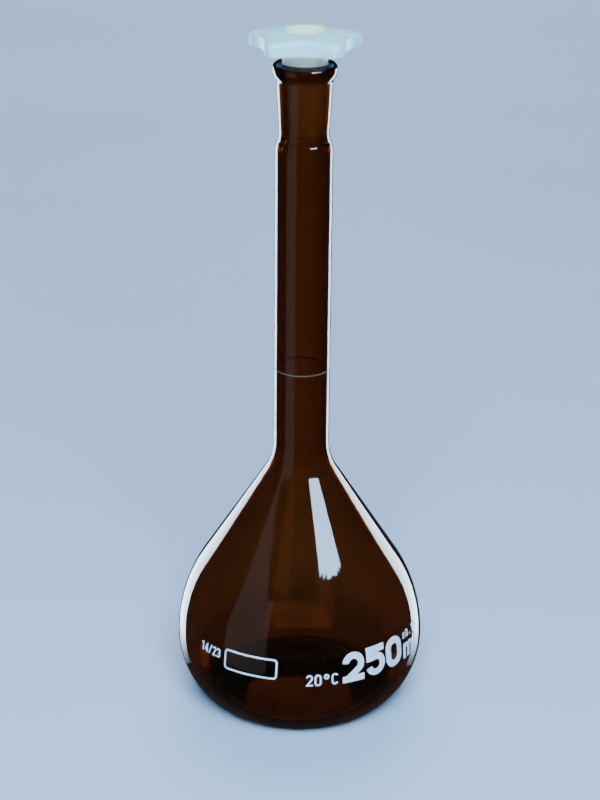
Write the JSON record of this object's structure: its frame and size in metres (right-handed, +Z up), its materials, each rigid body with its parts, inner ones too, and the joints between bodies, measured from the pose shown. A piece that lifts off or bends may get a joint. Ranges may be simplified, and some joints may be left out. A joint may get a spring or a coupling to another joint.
{
  "type": "volumetric flask",
  "caption": "Amber glass volumetric flask: pear-shaped bulb, long narrow neck with a graduation line, ground taper socket and a hollow plastic stopper with a five-cornered grip.",
  "frame": {"origin": "on the flask's axis, in the plane that it stands on", "axes": "+Z up the neck, -Y out of the printed side, +X to the right of someone who faces the print"},
  "size_m": [0.0822, 0.0822, 0.2276],
  "materials": {
    "amber_glass": "clear, fire-polished",
    "mark_enamel": "fired",
    "white_enamel": "fired, slightly rough",
    "natural_plastic": "satin, translucent"
  },
  "bodies": {
    "flask": {"bulb_and_neck": "amber_glass", "ground_socket": "amber_glass", "ring_mark": "mark_enamel", "print_capacity": "white_enamel", "print_unit": "white_enamel", "print_tolerance": "white_enamel", "print_temperature": "white_enamel", "print_joint_size": "white_enamel", "print_frame": "white_enamel"},
    "stopper": {"stopper": "natural_plastic"}
  },
  "joints": [
    {"name": "stopper_lift", "type": "slide", "parent": "flask", "child": "stopper", "axis": [0, 0, 1], "range_m": [0, 0.06]}
  ]
}
